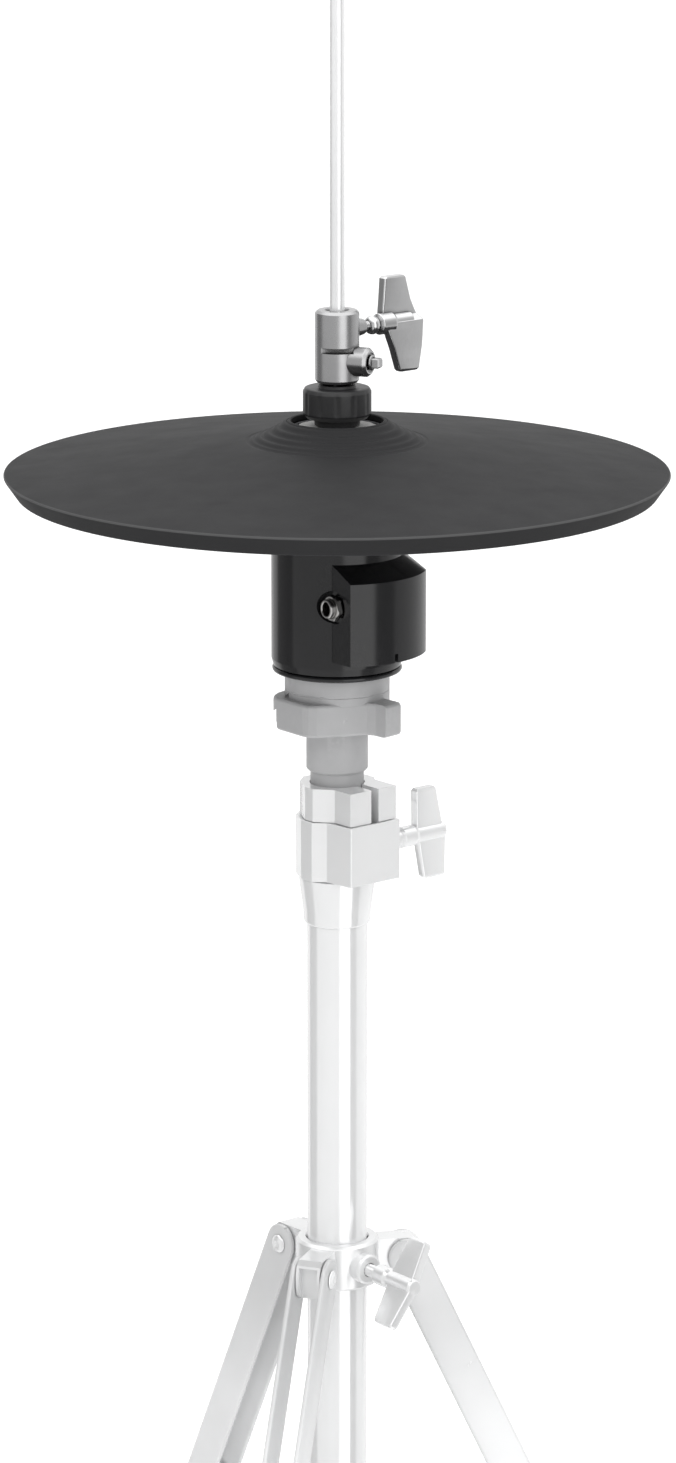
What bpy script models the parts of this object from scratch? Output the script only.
"""Single-pad hi hat on its stand, modelled piece by piece.

Frame: metres, +Z up, origin on the floor under the stand's tube.
Sizes are millimetres. Heights marked "rel" are above the pad's rim plane.
A heading phi is in degrees, in plan from -Y (phi 0) towards +X (phi 90).
A pose is the matrix of a piece's local frame.
"""
import bpy
import bmesh
import math
from mathutils import Vector, Matrix

for ob in list(bpy.data.objects):
    bpy.data.objects.remove(ob, do_unlink=True)

MM = 0.001
# ---- driving dimensions ----
RIM_Z = 804.0            # pad rim plane above the floor
PAD_R = 154.6            # pad radius at its widest circle, the crease
ROD_R = 3.5
ROD_BORE = 3.9           # radius of the holes the rod runs through
ROD_TOP = 224.5          # rel
UPPER_TUBE_R = 12.6
LOWER_TUBE_R = 14.3
LOWER_TUBE_BORE = 13.1
TUBE_HOLE_R = LOWER_TUBE_R + 0.35      # holes of the collars and the base frame
LEG_PHIS = (-20.0, 100.0, -140.0)
LEG_TOP_Z = 425.0
LEG_PIVOT_R = 33.0
LEG_LEAN = math.radians(25.0)          # from vertical, legs spread
LEG_LEN = 468.98
KNEE = 157.25            # from the leg's top rivet to its brace rivet
KNEE_R = LEG_PIVOT_R + KNEE * math.sin(LEG_LEAN)
KNEE_Z = LEG_TOP_Z - KNEE * math.cos(LEG_LEAN)
LOWER_COLLAR_Z = LEG_TOP_Z - 2 * KNEE * math.cos(LEG_LEAN)
PEDAL_PHI = 47.0
SEG = 40                 # facets round a medium turned piece, before the share below
FACETS = 0.55            # share of the full facet count that turned pieces get

AT_FLOOR = Matrix.Identity(4)
AT_RIM = Matrix.Translation((0, 0, RIM_Z * MM))
BORE_TURN = Matrix.Rotation(0.031, 4, "Z")   # small turn given to the facets of some bores
UP = Vector((0, 0, 1))


# ---------------------------------------------------------------- frames
def heading(phi):
    angle = math.radians(phi)
    return Vector((math.sin(angle), -math.cos(angle), 0.0))


def frame(origin, zdir, xdir):
    """Pose whose local z is zdir and local x is close to xdir."""
    zaxis = Vector(zdir).normalized()
    xaxis = Vector(xdir)
    xaxis = (xaxis - zaxis * xaxis.dot(zaxis)).normalized()
    pose = Matrix((xaxis, zaxis.cross(xaxis), zaxis)).transposed().to_4x4()
    pose.translation = Vector(origin)
    return pose


def point(pose, x, y, z):
    """World point of local millimetres."""
    return pose @ Vector((x * MM, y * MM, z * MM))


def radial(phi, rel):
    """Pose on the stand's axis: local z points outwards along phi, local x is up."""
    return frame((0, 0, (RIM_Z + rel) * MM), heading(phi), UP)


# ---------------------------------------------------------------- solids
def turned(profile, seg=SEG, pose=AT_FLOOR, start=0.0):
    """Solid of revolution about local z; profile is a closed loop of (radius, z)."""
    seg = max(8, round(seg * FACETS))
    mesh = bmesh.new()
    rings = []
    for radius, z in profile:
        if radius < 1e-6:
            rings.append([mesh.verts.new(point(pose, 0, 0, z))])
            continue
        angles = [start + 2 * math.pi * k / seg for k in range(seg)]
        rings.append([mesh.verts.new(point(pose, radius * math.cos(a), radius * math.sin(a), z))
                      for a in angles])
    for ring, after in zip(rings, rings[1:] + rings[:1]):
        if len(ring) == len(after) == 1:
            continue
        for k in range(seg):
            k2 = (k + 1) % seg
            if len(ring) == 1:
                mesh.faces.new((ring[0], after[k], after[k2]))
            elif len(after) == 1:
                mesh.faces.new((ring[k], after[0], ring[k2]))
            else:
                mesh.faces.new((ring[k], after[k], after[k2], ring[k2]))
    bmesh.ops.recalc_face_normals(mesh, faces=mesh.faces)
    return mesh


def sleeve(r_in, r_out, z0, z1, seg=SEG, pose=AT_FLOOR, chamfer=0.0):
    if chamfer > 0:
        outside = [(r_out - chamfer, z0), (r_out, z0 + chamfer),
                   (r_out, z1 - chamfer), (r_out - chamfer, z1)]
    else:
        outside = [(r_out, z0), (r_out, z1)]
    return turned([(r_in, z0)] + outside + [(r_in, z1)], seg, pose)


def disc(radius, z0, z1, seg=SEG, pose=AT_FLOOR, chamfer=0.0):
    return sleeve(0, radius, z0, z1, seg, pose, chamfer)


def loft(loops):
    """Closed skin through loops of world points, capped at both ends."""
    mesh = bmesh.new()
    rings = [[mesh.verts.new(p) for p in loop] for loop in loops]
    count = len(rings[0])
    for ring, after in zip(rings, rings[1:]):
        for k in range(count):
            k2 = (k + 1) % count
            mesh.faces.new((ring[k], ring[k2], after[k2], after[k]))
    mesh.faces.new(rings[0][::-1])
    mesh.faces.new(rings[-1])
    bmesh.ops.recalc_face_normals(mesh, faces=mesh.faces)
    return mesh


def prism(outline, z0, z1, pose=AT_FLOOR, chamfer=0.0):
    """Extrusion of an (x, y) outline along local z; a chamfer shrinks the ends to the middle."""
    mid_x = sum(p[0] for p in outline) / len(outline)
    mid_y = sum(p[1] for p in outline) / len(outline)

    def loop(z, inset):
        points = []
        for x, y in outline:
            reach = math.hypot(x - mid_x, y - mid_y)
            scale = (reach - inset) / reach if reach > 1e-9 else 1.0
            points.append(point(pose, mid_x + (x - mid_x) * scale,
                                mid_y + (y - mid_y) * scale, z))
        return points

    if chamfer > 0:
        return loft([loop(z0, chamfer), loop(z0 + chamfer, 0),
                     loop(z1 - chamfer, 0), loop(z1, chamfer)])
    return loft([loop(z0, 0), loop(z1, 0)])


def box(x0, x1, y0, y1, z0, z1, pose=AT_FLOOR):
    return prism([(x0, y0), (x1, y0), (x1, y1), (x0, y1)], z0, z1, pose)


def coil(radius, wire, z0, z1, turns, per_turn, sides):
    """Compression spring along z, from z0 to z1; wire is the wire's radius."""
    loops = []
    total = turns * per_turn
    for i in range(total + 1):
        angle = 2 * math.pi * i / per_turn
        out = Vector((math.cos(angle), math.sin(angle), 0))
        z = z0 + (z1 - z0) * i / total
        centre = Vector((radius * math.cos(angle), radius * math.sin(angle), z)) * MM
        around = [2 * math.pi * k / sides for k in range(sides)]
        loops.append([centre + (out * math.cos(b) + UP * math.sin(b)) * wire * MM
                      for b in around])
    return loft(loops)


def combine(base, others, operation):
    """Boolean of bmeshes: each of others is cut from, or joined to, base in turn."""
    def temporary(mesh):
        data = bpy.data.meshes.new("temp")
        mesh.to_mesh(data)
        mesh.free()
        ob = bpy.data.objects.new("temp", data)
        bpy.context.scene.collection.objects.link(ob)
        return ob

    target = temporary(base)
    tools = [temporary(other) for other in others]
    for tool in tools:
        mod = target.modifiers.new("boolean", "BOOLEAN")
        mod.operation = operation
        mod.solver = "EXACT"
        mod.object = tool
    bpy.context.view_layer.update()
    depsgraph = bpy.context.evaluated_depsgraph_get()
    data = bpy.data.meshes.new_from_object(target.evaluated_get(depsgraph))
    result = bmesh.new()
    result.from_mesh(data)
    for ob in [target] + tools:
        old = ob.data
        bpy.data.objects.remove(ob, do_unlink=True)
        bpy.data.meshes.remove(old)
    bpy.data.meshes.remove(data)
    bmesh.ops.remove_doubles(result, verts=result.verts, dist=2e-6)
    return result


def cut(base, *others):
    return combine(base, others, "DIFFERENCE")


def join(base, *others):
    return combine(base, others, "UNION")


# ---------------------------------------------------------------- materials
# name: (base colour, roughness, metallic)
FINISHES = {
    "pad_rubber": ((0.052, 0.052, 0.054), 0.62, 0.0),
    "black_plastic": ((0.022, 0.022, 0.024), 0.38, 0.0),
    "stiff_plate": ((0.12, 0.12, 0.13), 0.5, 0.0),
    "grey_felt": ((0.33, 0.33, 0.33), 0.95, 0.0),
    "satin_steel": ((0.50, 0.50, 0.50), 0.34, 1.0),
    "chrome": ((0.86, 0.87, 0.88), 0.12, 1.0),
    "pale_plastic": ((0.50, 0.50, 0.51), 0.45, 0.0),
    "black_rubber": ((0.03, 0.03, 0.03), 0.75, 0.0),
    "brass": ((0.72, 0.55, 0.25), 0.3, 1.0),
    "sensor_film": ((0.45, 0.40, 0.22), 0.4, 0.0),
    "green_board": ((0.02, 0.16, 0.07), 0.45, 0.0),
    "spring_steel": ((0.42, 0.42, 0.44), 0.3, 1.0),
    "grey_webbing": ((0.08, 0.08, 0.08), 0.85, 0.0),
}


def make_material(name, colour, roughness, metallic):
    material = bpy.data.materials.new(name)
    material.use_nodes = True
    inputs = material.node_tree.nodes["Principled BSDF"].inputs
    inputs["Base Color"].default_value = (*colour, 1.0)
    inputs["Roughness"].default_value = roughness
    inputs["Metallic"].default_value = metallic
    return material


MATERIALS = {name: make_material(name, *finish) for name, finish in FINISHES.items()}
SHARP_ANGLE = math.radians(35)


def add_piece(name, mesh, material, pivot=(0.0, 0.0, 0.0)):
    """One named piece, its origin on its joint's axis."""
    pivot = Vector(pivot)
    bmesh.ops.translate(mesh, verts=mesh.verts, vec=-pivot)
    data = bpy.data.meshes.new(name)
    mesh.to_mesh(data)
    mesh.free()
    data.materials.append(MATERIALS[material])
    data.shade_smooth()
    data.set_sharp_from_angle(angle=SHARP_ANGLE)
    ob = bpy.data.objects.new(name, data)
    ob.location = pivot
    bpy.context.scene.collection.objects.link(ob)


# ---------------------------------------------------------------- the pad, heights rel
PAD_SEG = 62
PAD_HOLE_R = 21.5
BELL_R, BELL_Z = 41.0, 19.0
BOW_R, BOW_Z = 154.3, 4.3
RUBBER_THICK = 3.2
RUBBER_LIP_R = 146.4               # inner radius of the rubber's rim
FILM_DROP, FILM_THICK = 3.6, 0.8   # edge sensor: depth of its top, thickness
FILM_IN_R, FILM_OUT_R = 127.0, 144.8
CORE_HOLE_R = 20.3
CORE_R = 145.2
CORE_LEDGE_DROP = 4.8              # depth of the core's top under the edge sensor
CORE_BEND_R = 42.0                 # where the core turns up into the bell
CORE_BEND_Z, CORE_EDGE_Z = 13.4, -1.1    # the core's underside
PIEZO_R, PIEZO_Y, PIEZO_Z = 13.5, 75.0, 7.9
FELT_HOLE_R = 7.8


def bow(radius):
    """Height of the playing surface outside the bell."""
    return BELL_Z + (BOW_Z - BELL_Z) * (radius - BELL_R) / (BOW_R - BELL_R)


add_piece("pad_rubber", turned([
    (PAD_HOLE_R, 28.8), (25.5, 27.4), (30.0, 24.8), (35.0, 22.0), (39.5, 19.8), (BELL_R, BELL_Z),
    (BOW_R - 0.8, bow(BOW_R - 0.8)), (BOW_R + 0.1, 4.15), (PAD_R, 3.6),
    (149.1, -4.3), (148.6, -4.9), (RUBBER_LIP_R, -4.9),
    (RUBBER_LIP_R, bow(RUBBER_LIP_R) - RUBBER_THICK),
    (CORE_BEND_R, bow(CORE_BEND_R) - RUBBER_THICK), (39.5, 16.4), (PAD_HOLE_R, 25.4)],
    PAD_SEG, AT_RIM), "pad_rubber")
add_piece("pad_core", turned([
    (CORE_HOLE_R, 25.6), (39.5, 16.0), (CORE_BEND_R, 15.2), (126.0, bow(126) - FILM_DROP),
    (126.5, bow(126.5) - CORE_LEDGE_DROP), (CORE_R, bow(CORE_R) - CORE_LEDGE_DROP),
    (CORE_R, CORE_EDGE_Z), (CORE_BEND_R, CORE_BEND_Z), (39.5, 14.1), (CORE_HOLE_R, 23.7)],
    PAD_SEG, AT_RIM), "stiff_plate")
add_piece("edge_sensor", turned([
    (FILM_IN_R, bow(FILM_IN_R) - FILM_DROP),
    (FILM_OUT_R, bow(FILM_OUT_R) - FILM_DROP),
    (FILM_OUT_R, bow(FILM_OUT_R) - FILM_DROP - FILM_THICK),
    (FILM_IN_R, bow(FILM_IN_R) - FILM_DROP - FILM_THICK)],
    PAD_SEG, AT_RIM), "sensor_film")

# the piezo lies parallel to the core's underside
core_slope = math.atan2(CORE_BEND_Z - CORE_EDGE_Z, CORE_R - CORE_BEND_R)
piezo_pose = frame((0, PIEZO_Y * MM, (RIM_Z + PIEZO_Z) * MM),
                   (0, math.sin(core_slope), math.cos(core_slope)), (1, 0, 0))
add_piece("bow_piezo", disc(PIEZO_R, -0.4, 0.4, 24, piezo_pose), "brass")
add_piece("pad_bottom_cover", turned([
    (28.5, 10.3), (110.0, 0.3), (138.0, -2.1), (CORE_R, -1.9),
    (CORE_R, -3.7), (138.0, -4.0), (110.0, -1.6), (28.5, 8.5)],
    PAD_SEG, AT_RIM), "black_plastic")
add_piece("pad_hub", turned([
    (8.3, 13.0), (8.3, 21.3), (20.0, 21.3), (20.6, 22.9), (27.0, 19.7), (27.0, 13.0)],
    SEG, AT_RIM), "black_plastic")
add_piece("upper_felt", sleeve(FELT_HOLE_R, 19.5, 21.6, 25.5, SEG, AT_RIM), "grey_felt")
add_piece("lower_felt", sleeve(FELT_HOLE_R, 15.0, 9.0, 12.7, SEG, AT_RIM), "grey_felt")

# ---------------------------------------------------------------- wing bolts and nuts
# blade sections: (up, along from, along to, across from, across to); up is local x,
# across is local y, and along is local z measured from where the blades begin
LEDGE_BLADES = (
    (-23.2, 9.3, 19.5, -0.4, 3.4), (-22.2, 8.3, 20.5, -0.6, 4.0), (-12.0, 4.8, 22.0, -0.5, 4.4),
    (-7.0, 2.6, 22.4, -0.4, 4.4), (-3.0, 1.0, 22.6, -0.3, 4.4), (-0.5, 0.6, 22.8, -4.4, 4.4),
    (0.5, 0.6, 22.7, -4.4, 4.4), (3.0, 0.8, 21.8, -4.4, 0.3), (6.0, 1.0, 20.2, -4.4, 0.3),
    (10.0, 1.4, 18.2, -4.4, 0.4), (20.8, 2.1, 14.9, -4.3, 0.6), (21.6, 3.0, 14.0, -3.8, 0.2))
FLAT_BLADES = (
    (-21.8, 11.2, 22.6, -2.0, 2.0), (-20.8, 10.4, 23.3, -2.45, 2.45),
    (-3.0, 7.0, 23.6, -2.45, 2.45), (3.0, 5.6, 21.8, -2.45, 2.45),
    (21.2, 5.4, 17.6, -2.45, 2.45), (22.3, 6.2, 16.8, -2.0, 2.0))
# turned profiles: (radius, along)
LEDGE_HUB = ((0, -3.4), (2.6, -3.4), (5.1, -1.6), (5.1, 6.0), (4.2, 7.0), (4.2, 17.5), (0, 17.5))
LEDGE_BEAD = ((0, -8.4), (2.8, -8.4), (4.4, -6.4), (4.4, -4.2), (3.0, -2.4), (0, -2.4))
FLAT_HUB = ((0, -4.0), (4.2, -4.0), (5.0, -3.0), (5.0, 4.4),
            (4.2, 6.0), (4.2, 22.4), (3.4, 23.5), (0, 23.5))
LEDGE_WING = (LEDGE_BLADES, (LEDGE_HUB, LEDGE_BEAD))
FLAT_WING = (FLAT_BLADES, (FLAT_HUB,))


def wing(kind, start, shank_r, shank_from, pose):
    """Wing bolt or nut: local z is the axis, local x is up; start is where the blades begin."""
    sections, profiles = kind
    blades = loft([[point(pose, up, y, start + along)
                    for along, y in ((a0, y0), (a1, y0), (a1, y1), (a0, y1))]
                   for up, a0, a1, y0, y1 in sections])
    rounds = [turned([(radius, start + along) for radius, along in profile], 20, pose)
              for profile in profiles]
    return join(blades, *rounds, disc(shank_r, shank_from, start + 2.0, 16, pose))


# ---------------------------------------------------------------- the clutch, heights rel
CLUTCH_R = 10.3
CLUTCH_BOTTOM, CLUTCH_TOP = 46.3, 80.0
CLUTCH_TUBE_R = 7.0
CLUTCH_TUBE_BOTTOM, CLUTCH_TUBE_TOP = 1.3, 59.2
THREAD_HOLE_R = CLUTCH_TUBE_R + 0.4
LOCK_NUT_R = 16.0
KEY_POSE = radial(65.0, 56.5)              # square-headed key bolt
CLUTCH_WING_POSE = radial(130.0, 70.5)


def clutch_body():
    body = join(
        disc(CLUTCH_R, CLUTCH_BOTTOM, CLUTCH_TOP, SEG, AT_RIM, 1.2),
        turned([(0, 6.0), (6.8, 6.0), (6.8, 15.6), (5.4, 17.0), (0, 17.0)], 28, KEY_POSE),
        turned([(0, 6.0), (5.0, 6.0), (4.6, 10.5), (3.6, 15.5), (0, 15.5)], 24,
               CLUTCH_WING_POSE, start=0.11))
    return cut(
        body,
        disc(ROD_BORE, 57, 90, 28, AT_RIM @ BORE_TURN),
        disc(THREAD_HOLE_R, 40, CLUTCH_TUBE_TOP + 0.6, 28, AT_RIM @ BORE_TURN),
        box(-20, 7.6, -20, -7.1, 60.7, 63.3, AT_RIM),      # level slot
        disc(2.1, 5, 20, 16, KEY_POSE),
        disc(2.6, 3, 20, 16, CLUTCH_WING_POSE))


add_piece("clutch_body", clutch_body(), "satin_steel")
add_piece("clutch_key_bolt", join(
    disc(1.7, 7.8, 18.2, 12, KEY_POSE),
    disc(3.6, 17.3, 18.4, 20, KEY_POSE),
    box(-2.3, 2.3, -2.3, 2.3, 17.8, 22.3, KEY_POSE)), "satin_steel")
add_piece("clutch_tube", sleeve(ROD_BORE, CLUTCH_TUBE_R, CLUTCH_TUBE_BOTTOM, CLUTCH_TUBE_TOP,
                                32, AT_RIM, 0.6), "satin_steel")
add_piece("clutch_lock_nut", turned([
    (THREAD_HOLE_R, 26.0), (10.0, 26.0), (10.6, 26.6), (10.6, 29.6), (14.2, 29.6),
    (LOCK_NUT_R, 31.8), (LOCK_NUT_R, 42.4), (14.4, 44.0), (8.8, 44.0), (8.6, 45.4),
    (THREAD_HOLE_R, 45.4)], SEG, AT_RIM), "black_plastic")
add_piece("clutch_bottom_nut", sleeve(THREAD_HOLE_R, 11.0, 1.2, 8.3, 24, AT_RIM, 0.8),
          "satin_steel")
add_piece("clutch_wing_bolt", wing(LEDGE_WING, start=26.5, shank_r=2.2, shank_from=4.2,
                                   pose=CLUTCH_WING_POSE),
          "chrome", CLUTCH_WING_POSE.translation)

# ---------------------------------------------------------------- rod, with a flange low down
FLANGE_R, FLANGE_BOTTOM, FLANGE_TOP = 8.5, 205.0, 209.0
add_piece("pull_rod", turned([
    (0, 90.0), (2.6, 90.0), (ROD_R, 91.0), (ROD_R, FLANGE_BOTTOM), (FLANGE_R, FLANGE_BOTTOM),
    (FLANGE_R, FLANGE_TOP), (ROD_R, FLANGE_TOP),
    (ROD_R, RIM_Z + ROD_TOP - 1.2), (2.4, RIM_Z + ROD_TOP), (0, RIM_Z + ROD_TOP)], 20), "chrome")

# ---------------------------------------------------------------- motion sensor unit, rel
HOUSING_R, HOUSING_BORE = 30.8, 26.0
HOUSING_TOP, HOUSING_BOTTOM = -24.0, -87.0
HOUSING_ROOF = 3.2                       # thickness of the top wall
BOSS_OUT_R = 41.9
BOSS_FROM, BOSS_TO = 8.4, 81.0           # headings of the boss's two outer corners
BOSS_BOTTOM = -79.7
ROOF_Z = -33.9                           # the boss's roof where it meets the housing
ROOF_SLOPE = 0.64                        # its fall per millimetre outwards
JACK_X, JACK_Z = -2.3, -53.5
POCKET_POSE = frame((JACK_X * MM, -33.0 * MM, (RIM_Z + JACK_Z) * MM), heading(-40.0), UP)
JACK_POSE = frame((JACK_X * MM, -33.9 * MM, (RIM_Z + JACK_Z) * MM), heading(-55.0), UP)


def sensor_boss():
    """Boss between the -Y and +X headings, its roof falling outwards."""
    arc = [heading(BOSS_FROM + (BOSS_TO - BOSS_FROM) * k / 11) * BOSS_OUT_R for k in range(12)]
    outline = [(0.0, -8.0), (-3.0, -30.0)] + [(p.x, p.y) for p in arc] + [(30.2, 2.0), (12.0, 0.0)]
    roof = [(radius, ROOF_Z - (radius - HOUSING_R) * ROOF_SLOPE) for radius in (27.0, 47.0)]
    return cut(prism(outline, BOSS_BOTTOM, -32.0, AT_RIM),
               turned(roof + [(47.0, -20), (27.0, -20)], 72, AT_RIM))


def sensor_housing():
    shell = turned([
        (0, HOUSING_BOTTOM), (HOUSING_R - 0.9, HOUSING_BOTTOM), (HOUSING_R, HOUSING_BOTTOM + 3.4),
        (HOUSING_R, HOUSING_TOP - 1.0), (HOUSING_R - 1.0, HOUSING_TOP), (0, HOUSING_TOP)],
        58, AT_RIM)
    cavity_top = HOUSING_TOP - HOUSING_ROOF
    cavity = turned([(0, -95), (HOUSING_BORE, -95), (HOUSING_BORE, cavity_top),
                     (17.2, cavity_top), (17.2, -10), (0, -10)], 50, AT_RIM)
    return cut(
        join(shell, sensor_boss()), cavity,
        box(-83.0, -75.6, -1.0, 1.0, 39.0, 44.0, radial(41.0, 0)),    # upright slot in the boss
        disc(7.8, -3.4, 30, 30, POCKET_POSE),
        disc(4.9, -15.0, 10, 22, JACK_POSE))


def jack_nut():
    angles = [0.3 + 2 * math.pi * k / 6 for k in range(6)]
    hexagon = [(6.5 * math.cos(angle), 6.5 * math.sin(angle)) for angle in angles]
    return cut(prism(hexagon, -1.6, 1.0, JACK_POSE), disc(4.8, -20, 20, 22, JACK_POSE))


add_piece("sensor_housing", sensor_housing(), "black_plastic")
add_piece("sensor_base", sleeve(5.0, 30.4, -90.0, -87.4, 58, AT_RIM, 0.4), "black_plastic")
add_piece("jack_socket", sleeve(3.2, 4.5, -13.6, 3.7, 22, JACK_POSE), "chrome")
add_piece("jack_nut", jack_nut(), "chrome")
add_piece("sensor_plunger", turned([
    (4.6, -60.0), (16.4, -60.0), (16.4, -8.0), (13.0, -2.0), (13.0, 0.7), (4.6, 0.7)],
    32, AT_RIM), "black_rubber")
add_piece("sensor_board", box(-12, 12, 19.6, 21.2, -82.0, -50.0, AT_RIM), "green_board")
add_piece("plunger_spring", coil(radius=11.0, wire=0.8, z0=RIM_Z - 86.0, z1=RIM_Z - 61.4,
                                 turns=4, per_turn=9, sides=4), "spring_steel")

# ---------------------------------------------------------------- seat and upper tube, rel
SEAT_R = 24.6
UPPER_TUBE_BOTTOM = 330.0 - RIM_Z
UPPER_TUBE_TOP = -106.5
# plan (x, y) of the plate under the cup
SEAT_PLAN = [
    (-29.8, -6.5), (-28.9, -9.2), (-25.2, -13.9), (-20.4, -20.0), (-16.2, -25.2), (-13.4, -27.2),
    (-9.5, -27.4), (-4.0, -26.0), (2.0, -24.6), (9.0, -22.6), (14.0, -21.3), (18.0, -22.6),
    (21.0, -25.5), (22.8, -27.7), (30.0, -19.7), (26.5, -15.5), (22.0, -11.0), (24.0, -4.0),
    (24.6, 0.0), (24.0, 5.0), (21.0, 12.5), (15.0, 19.0), (7.0, 23.0), (-2.0, 24.0),
    (-12.0, 21.0), (-20.0, 14.0), (-25.0, 6.0), (-28.5, 1.0), (-29.8, -3.0)]
# tilted notch in the plate's -X end
NOTCH_POSE = (AT_RIM @ Matrix.Translation((-30.3 * MM, 0, -117.2 * MM))
              @ Matrix.Rotation(math.radians(38), 4, "Y"))


def seat_cup():
    cup = join(
        turned([(0, -102.0), (SEAT_R, -102.0), (SEAT_R, -91.3), (SEAT_R - 1.0, -90.3),
                (0, -90.3)], 40, AT_RIM),
        prism(SEAT_PLAN, -116.8, -101.5, AT_RIM, 0.9),
        turned([(0, -138.0), (13.7, -138.0), (14.5, -137.0), (14.5, -112.0), (0, -112.0)],
               36, AT_RIM))
    return cut(
        cup,
        disc(5.2, -120, -80, 24, AT_RIM),
        disc(UPPER_TUBE_R + 0.4, -150, UPPER_TUBE_TOP + 0.5, 32, AT_RIM @ BORE_TURN),
        box(-5.0, 5.0, -10.0, 0.8, -40.0, 40.0, NOTCH_POSE))


add_piece("seat_cup", seat_cup(), "pale_plastic")
add_piece("upper_tube", sleeve(11.3, UPPER_TUBE_R, UPPER_TUBE_BOTTOM, UPPER_TUBE_TOP, 32, AT_RIM),
          "pale_plastic")

# ---------------------------------------------------------------- height clamp, rel
CLAMP_PHI = 40.0                         # heading of the clamp's ears
CLAMP_BOLT_R, CLAMP_HOLE_R = 2.6, 2.95
CLAMP_BOLT_OUT, CLAMP_BOLT_Z = 18.6, -171.6
# clamp: local x towards the ears, local y along the bolt; bolt: local z along it, local x up
CLAMP_POSE = frame(AT_RIM.translation, UP, heading(CLAMP_PHI))
BOLT_POSE = frame(point(CLAMP_POSE, CLAMP_BOLT_OUT, 0, CLAMP_BOLT_Z), heading(CLAMP_PHI + 90.0), UP)
# outlines (x, y) of the sleeve's upper plate and of the band
CLAMP_UPPER = [
    (24.0, -12.0), (12.5, -12.0), (4.5, -18.7), (-1.1, -18.7), (-11.5, -13.4), (-17.6, -6.0),
    (-17.6, 6.0), (-11.5, 13.4), (-1.1, 18.7), (4.5, 18.7), (8.5, 16.0), (24.0, 16.0)]
CLAMP_BAND = [
    (25.0, -12.5), (9.5, -14.4), (4.5, -19.2), (-3.6, -19.2), (-13.5, -14.2), (-19.2, -6.0),
    (-19.2, 6.0), (-13.5, 14.2), (-3.6, 19.2), (4.5, 19.2), (9.5, 17.9), (25.0, 17.5)]


def clamp_sleeve():
    core = join(
        prism(CLAMP_UPPER, -159.8, -144.0, CLAMP_POSE, 0.5),
        disc(15.9, -190.0, -150.0, 36, CLAMP_POSE),
        box(4, 22.8, -9.6, 14.8, -189.0, -150.0, CLAMP_POSE),
        turned([(0, -212.0), (15.6, -212.0), (18.2, -189.3), (0, -189.3)], 36, CLAMP_POSE))
    return cut(
        core,
        disc(UPPER_TUBE_R + 0.35, -170, -130, 36, CLAMP_POSE),
        disc(TUBE_HOLE_R, -220, -164.5, 36, CLAMP_POSE),
        box(8, 40, 0.75, 5.25, -187.0, -130.0, CLAMP_POSE),     # gap between the ears
        disc(CLAMP_HOLE_R, -30, 30, 16, BOLT_POSE))


def clamp_band():
    return cut(
        prism(CLAMP_BAND, -188.9, -160.2, CLAMP_POSE, 0.5),
        disc(16.3, -200, -150, 36, CLAMP_POSE),
        box(2, 23.2, -10.0, 15.2, -200, -150, CLAMP_POSE),
        disc(CLAMP_HOLE_R, -12.6, 40, 16, BOLT_POSE))


def clamp_wing_nut():
    nut = wing(FLAT_WING, start=26.0, shank_r=3.9, shank_from=18.4, pose=BOLT_POSE)
    return cut(nut, disc(CLAMP_HOLE_R, 10, 34.6, 16, BOLT_POSE))


add_piece("clamp_sleeve", clamp_sleeve(), "chrome")
add_piece("clamp_band", clamp_band(), "chrome")
add_piece("clamp_bolt", disc(CLAMP_BOLT_R, -12.2, 34.0, 16, BOLT_POSE), "spring_steel")
add_piece("clamp_wing_nut", clamp_wing_nut(), "chrome", BOLT_POSE.translation)

# ---------------------------------------------------------------- lower tube, spring
TUBE_BOTTOM, TUBE_TOP = 108.0, RIM_Z - 165.0
TUBE_FLOOR = TUBE_BOTTOM + 8             # top of the tube's bottom wall
add_piece("lower_tube", turned([
    (4.4, TUBE_BOTTOM), (LOWER_TUBE_R, TUBE_BOTTOM), (LOWER_TUBE_R, TUBE_TOP),
    (LOWER_TUBE_BORE, TUBE_TOP), (LOWER_TUBE_BORE, TUBE_FLOOR), (4.4, TUBE_FLOOR)], 36), "chrome")
add_piece("return_spring", coil(radius=8.6, wire=1.0, z0=117.6, z1=203.6,
                                turns=7, per_turn=8, sides=4), "spring_steel")

# ---------------------------------------------------------------- tripod
RIVET_R, RIVET_HOLE_R = 2.5, 2.85
RIVET_HEAD_R, RIVET_HEAD_IN = 4.4, 9.3   # head: radius, distance from the middle
COLLAR_WING_PHI = 38.0
BAR_HALF_THICK = 1.25
# leg bar: (distance from its top rivet, half width, sideways offset)
BAR_STATIONS = (
    (-9.5, 3.4, 7.7), (-8.2, 5.9, 7.7), (-4.5, 8.7, 7.7), (0, 9.5, 7.7), (25, 9.5, 7.7),
    (110, 9.5, 7.7), (370, 9.5, 7.7), (440, 9.5, 8.5), (455.5, 9.5, 8.5))
# brace outline: (across, distance from its lower rivet)
BRACE_OUTLINE = [
    (-7.4, 0), (-5.4, -5.2), (0, -7.4), (5.4, -5.2), (7.4, 0), (9.0, 30), (9.4, KNEE),
    (6.5, KNEE + 7), (0, KNEE + 9.6), (-6.5, KNEE + 7), (-9.4, KNEE), (-9.0, 30)]
# legs: local x outwards along the heading, local z up
LEG_POSES = [frame((0, 0, 0), UP, heading(phi)) for phi in LEG_PHIS]
COLLAR_WING_POSE = frame(
    (0, 0, LEG_TOP_Z * MM), heading(COLLAR_WING_PHI),
    heading(COLLAR_WING_PHI + 90) * 0.60 + Vector((0, 0, 0.80)))


def across(leg, x, z):
    """Pose of a rivet: local z runs sideways across a leg's plane."""
    return frame(point(leg, x, 0, z), leg.to_3x3() @ Vector((0, 1, 0)), UP)


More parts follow.
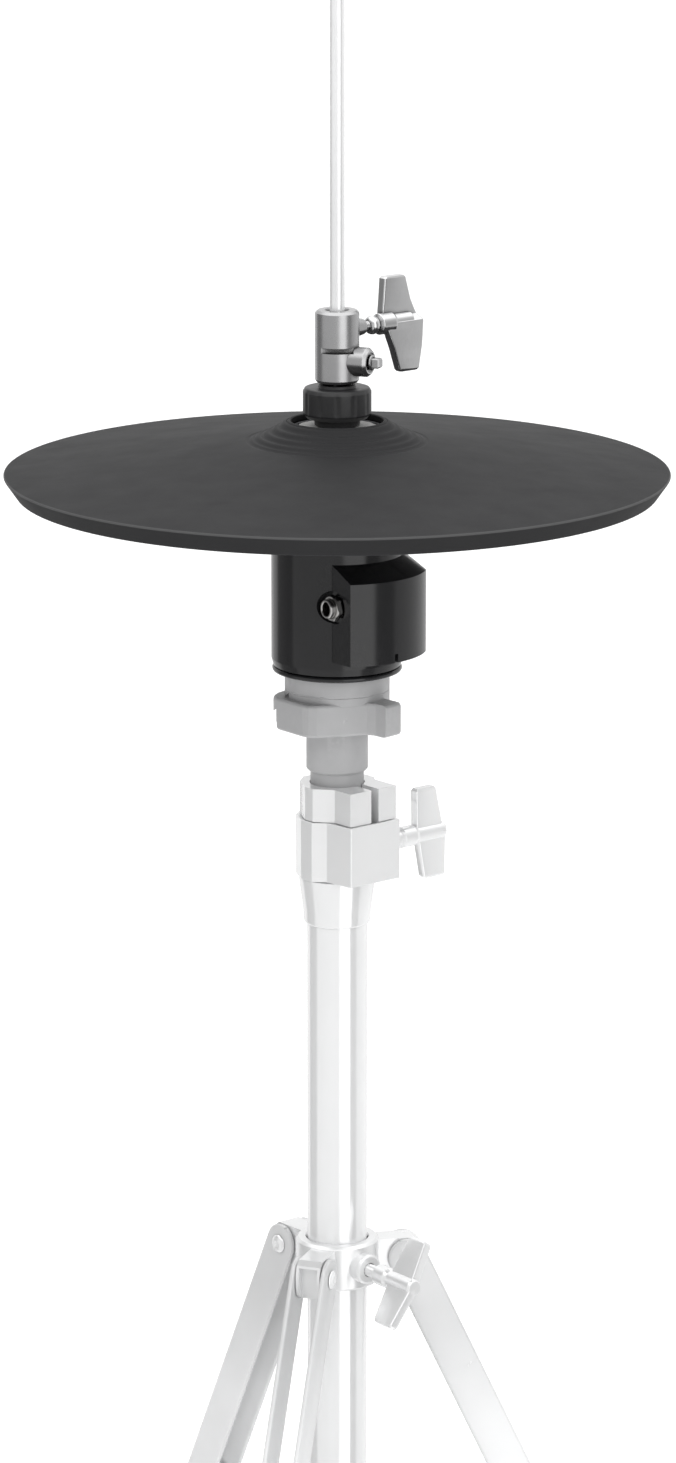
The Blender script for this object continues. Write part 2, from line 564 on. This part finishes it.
def in_plane(leg, x, z, along_x, along_z):
    """Pose in a leg's upright plane: local z along the given way, local x square to it."""
    turn = leg.to_3x3()
    return frame(point(leg, x, 0, z), turn @ Vector((along_x, 0, along_z)),
                 turn @ Vector((-along_z, 0, along_x)))


def rivet_hole(leg, x, z):
    return disc(RIVET_HOLE_R, -20, 20, 16, across(leg, x, z))


def rivet(leg, x, z):
    """Rivet with a domed head at each end."""
    head = RIVET_HEAD_IN
    return turned([
        (0, -head - 1.7), (RIVET_HEAD_R, -head - 0.8), (RIVET_HEAD_R, -head), (RIVET_R, -head),
        (RIVET_R, head), (RIVET_HEAD_R, head), (RIVET_HEAD_R, head + 0.8), (0, head + 1.7)],
        15, across(leg, x, z))


def tripod_collar():
    """Upper collar, with a solid lug for each leg and a boss for the wing bolt."""
    collar = sleeve(10.0, 20.0, LEG_TOP_Z - 11.0, LEG_TOP_Z + 11.0, 36, AT_FLOOR, 1.0)
    lugs = [box(12, 41.0, -6.0, 6.0, LEG_TOP_Z - 9.5, LEG_TOP_Z + 9.5, leg) for leg in LEG_POSES]
    collar = join(collar, *lugs, disc(7.2, 12.0, 25.0, 24, COLLAR_WING_POSE, 0.8))
    return cut(collar, disc(TUBE_HOLE_R, 400, 460, 36, BORE_TURN),
               *[rivet_hole(leg, LEG_PIVOT_R, LEG_TOP_Z) for leg in LEG_POSES],
               disc(3.35, 8, 40, 16, COLLAR_WING_POSE))


def lower_collar():
    """Lower collar, with a forked lug for each brace."""
    mid = LOWER_COLLAR_Z
    collar = sleeve(10.0, 20.3, mid - 9.5, mid + 10.1, 36, AT_FLOOR, 1.0)
    collar = join(collar, *[box(12, 39.0, -9.0, 9.0, mid - 7.9, mid + 8.3, leg)
                            for leg in LEG_POSES])
    return cut(collar, disc(TUBE_HOLE_R, 100, 200, 36, BORE_TURN),
               *[box(23.5, 60, -5.5, 5.5, 100, 200, leg) for leg in LEG_POSES],
               *[rivet_hole(leg, LEG_PIVOT_R, mid) for leg in LEG_POSES])


def leg_bar(leg, side):
    pose = in_plane(leg, LEG_PIVOT_R, LEG_TOP_Z, math.sin(LEG_LEAN), -math.cos(LEG_LEAN))
    corners = ((-1, -1), (1, -1), (1, 1), (-1, 1))
    bar = loft([[point(pose, x * half_width, offset * side + y * BAR_HALF_THICK, along)
                 for x, y in corners] for along, half_width, offset in BAR_STATIONS])
    return cut(bar, rivet_hole(leg, LEG_PIVOT_R, LEG_TOP_Z), rivet_hole(leg, KNEE_R, KNEE_Z))


def foot(leg):
    """Rubber foot: a flat pad and a leaning block above it."""
    toe_r = LEG_PIVOT_R + LEG_LEN * math.sin(LEG_LEAN)
    turn = leg.to_3x3()
    side_pose = frame((0, 0, 0), turn @ Vector((0, -1, 0)), turn @ Vector((1, 0, 0)))
    block = [(toe_r - 11, 4), (toe_r + 7, 4), (toe_r - 7.5, 35), (toe_r - 23.5, 33)]
    return join(box(toe_r - 17, toe_r + 17, -12.5, 12.5, 0.0, 6.4, leg),
                prism(block, -6.8, 6.8, side_pose))


def brace(leg):
    """Flat brace with a slot at its knee end."""
    pose = in_plane(leg, LEG_PIVOT_R, LOWER_COLLAR_Z, math.sin(LEG_LEAN), math.cos(LEG_LEAN))
    y_along = Matrix(((1, 0, 0, 0), (0, 0, -1, 0), (0, 1, 0, 0), (0, 0, 0, 1)))
    return cut(prism(BRACE_OUTLINE, -5.0, 5.0, pose @ y_along),
               rivet_hole(leg, LEG_PIVOT_R, LOWER_COLLAR_Z),
               disc(2.9, -20, 20, 16, across(leg, KNEE_R, KNEE_Z)),
               box(-4.7, 4.7, -20, 20, KNEE - 9.6, KNEE - 0.4, pose))


add_piece("tripod_collar", tripod_collar(), "chrome")
add_piece("collar_wing_bolt", wing(FLAT_WING, start=36.0, shank_r=3.0, shank_from=15.0,
                                   pose=COLLAR_WING_POSE),
          "chrome", COLLAR_WING_POSE.translation)
add_piece("lower_collar", lower_collar(), "chrome")
for i, leg in enumerate(LEG_POSES, 1):
    pivot = point(leg, LEG_PIVOT_R, 0, LEG_TOP_Z)
    low_pivot = point(leg, LEG_PIVOT_R, 0, LOWER_COLLAR_Z)
    add_piece(f"leg_{i}_bar_a", leg_bar(leg, -1), "chrome", pivot)
    add_piece(f"leg_{i}_bar_b", leg_bar(leg, 1), "chrome", pivot)
    add_piece(f"leg_{i}_rivet", rivet(leg, LEG_PIVOT_R, LEG_TOP_Z), "chrome", pivot)
    add_piece(f"knee_{i}_rivet", rivet(leg, KNEE_R, KNEE_Z), "chrome", pivot)
    add_piece(f"foot_{i}", foot(leg), "black_rubber", pivot)
    add_piece(f"brace_{i}", brace(leg), "chrome", low_pivot)
    add_piece(f"brace_{i}_rivet", rivet(leg, LEG_PIVOT_R, LOWER_COLLAR_Z), "chrome", low_pivot)

# ---------------------------------------------------------------- base frame and pedal
HEEL_ALONG, HEEL_Z = 247.0, 22.0         # heel hinge: distance from the tube's axis, height
BOARD_RISE = 34.0                        # rise of the footboard from the hinge to the axis
HEEL_DIR = heading(PEDAL_PHI)
PEDAL_POSE = frame((0, 0, 0), UP, HEEL_DIR)        # local x towards the heel, y sideways
SIDE_DIR = PEDAL_POSE.to_3x3() @ Vector((0, 1, 0))
ARCH_POSE = frame((0, 0, 0), HEEL_DIR, SIDE_DIR)   # local x sideways, y up, z towards the heel
HEEL_POSE = frame(point(PEDAL_POSE, HEEL_ALONG, 0, HEEL_Z), SIDE_DIR, UP)
# arch outline: (sideways, up)
ARCH = [(-36, 4.4), (-36, 104), (-25, 126), (25, 126), (36, 104), (36, 4.4),
        (31, 4.4), (31, 92), (22, 104), (-22, 104), (-31, 92), (-31, 4.4)]
# base plate outline: (towards the heel, sideways)
PLATE = [(-30, -24), (-22, -37), (22, -37), (40, -24), (190, -24), (222, -42),
         (290, -42), (302, -30), (302, 30), (290, 42), (222, 42), (190, 24),
         (40, 24), (22, 37), (-22, 37), (-30, 24)]
# footboard: (distance from the hinge towards the toe, half width)
BOARD_STATIONS = ((-4, 30), (12, 33), (60, 39), (120, 39.5), (180, 35),
                  (222, 27), (246, 24.5), (262, 22), (268, 16))


def base_plate():
    """Plate with a raised block and two hinge cheeks at the heel."""
    cheeks = [box(HEEL_ALONG - 9, HEEL_ALONG + 9, y0, y1, 3.0, 31.0, PEDAL_POSE)
              for y0, y1 in ((36.0, 41.0), (-41.0, -36.0))]
    plate = join(prism(PLATE, 0.0, 4.0, PEDAL_POSE),
                 box(264, 298, -34, 34, 3.0, 16.0, PEDAL_POSE), *cheeks)
    return cut(plate, disc(3.35, -60, 60, 20, HEEL_POSE))


def footboard():
    """Board rising from the hinge to the toe, with a low ridge along each edge."""
    slope = math.atan2(BOARD_RISE, HEEL_ALONG)
    toe_dir = (-HEEL_DIR) * math.cos(slope) + Vector((0, 0, math.sin(slope)))
    board_up = HEEL_DIR * math.sin(slope) + Vector((0, 0, math.cos(slope)))
    loops = []
    for along, half in BOARD_STATIONS:
        centre = HEEL_POSE.translation + toe_dir * along * MM
        section = [(-half, 2.0), (half, 2.0), (half, 6.4), (half - 2.4, 7.6),
                   (half - 4.2, 6.4), (-half + 4.2, 6.4), (-half + 2.4, 7.6), (-half, 6.4)]
        loops.append([centre + SIDE_DIR * y * MM + board_up * z * MM for y, z in section])
    board = join(loft(loops), disc(6.6, -33, 33, 24, HEEL_POSE))
    return cut(board, disc(3.4, -60, 60, 20, HEEL_POSE))


def rod_coupling():
    coupling = join(sleeve(ROD_BORE, 7.6, 88.4, 103.0, 24, AT_FLOOR, 0.6),
                    box(-5.5, 5.5, -7.0, 7.0, 77.0, 89.6, PEDAL_POSE))
    return cut(coupling, box(-1.9, 1.9, -20, 20, 70, 87.4, PEDAL_POSE))


add_piece("base_frame", cut(prism(ARCH, -18, 18, ARCH_POSE), disc(TUBE_HOLE_R, 90, 140, 36)),
          "chrome")
add_piece("base_plate", base_plate(), "chrome")
add_piece("heel_pin", turned([
    (0, -43.5), (4.6, -43.5), (4.6, -41.4), (3.0, -41.4),
    (3.0, 41.4), (4.6, 41.4), (4.6, 43.5), (0, 43.5)], 20, HEEL_POSE), "spring_steel")
add_piece("footboard", footboard(), "chrome", HEEL_POSE.translation)
add_piece("rod_coupling", rod_coupling(), "spring_steel")
add_piece("pull_strap", box(-1.5, 1.5, -5.2, 5.2, 64.6, 87.0, PEDAL_POSE), "grey_webbing")
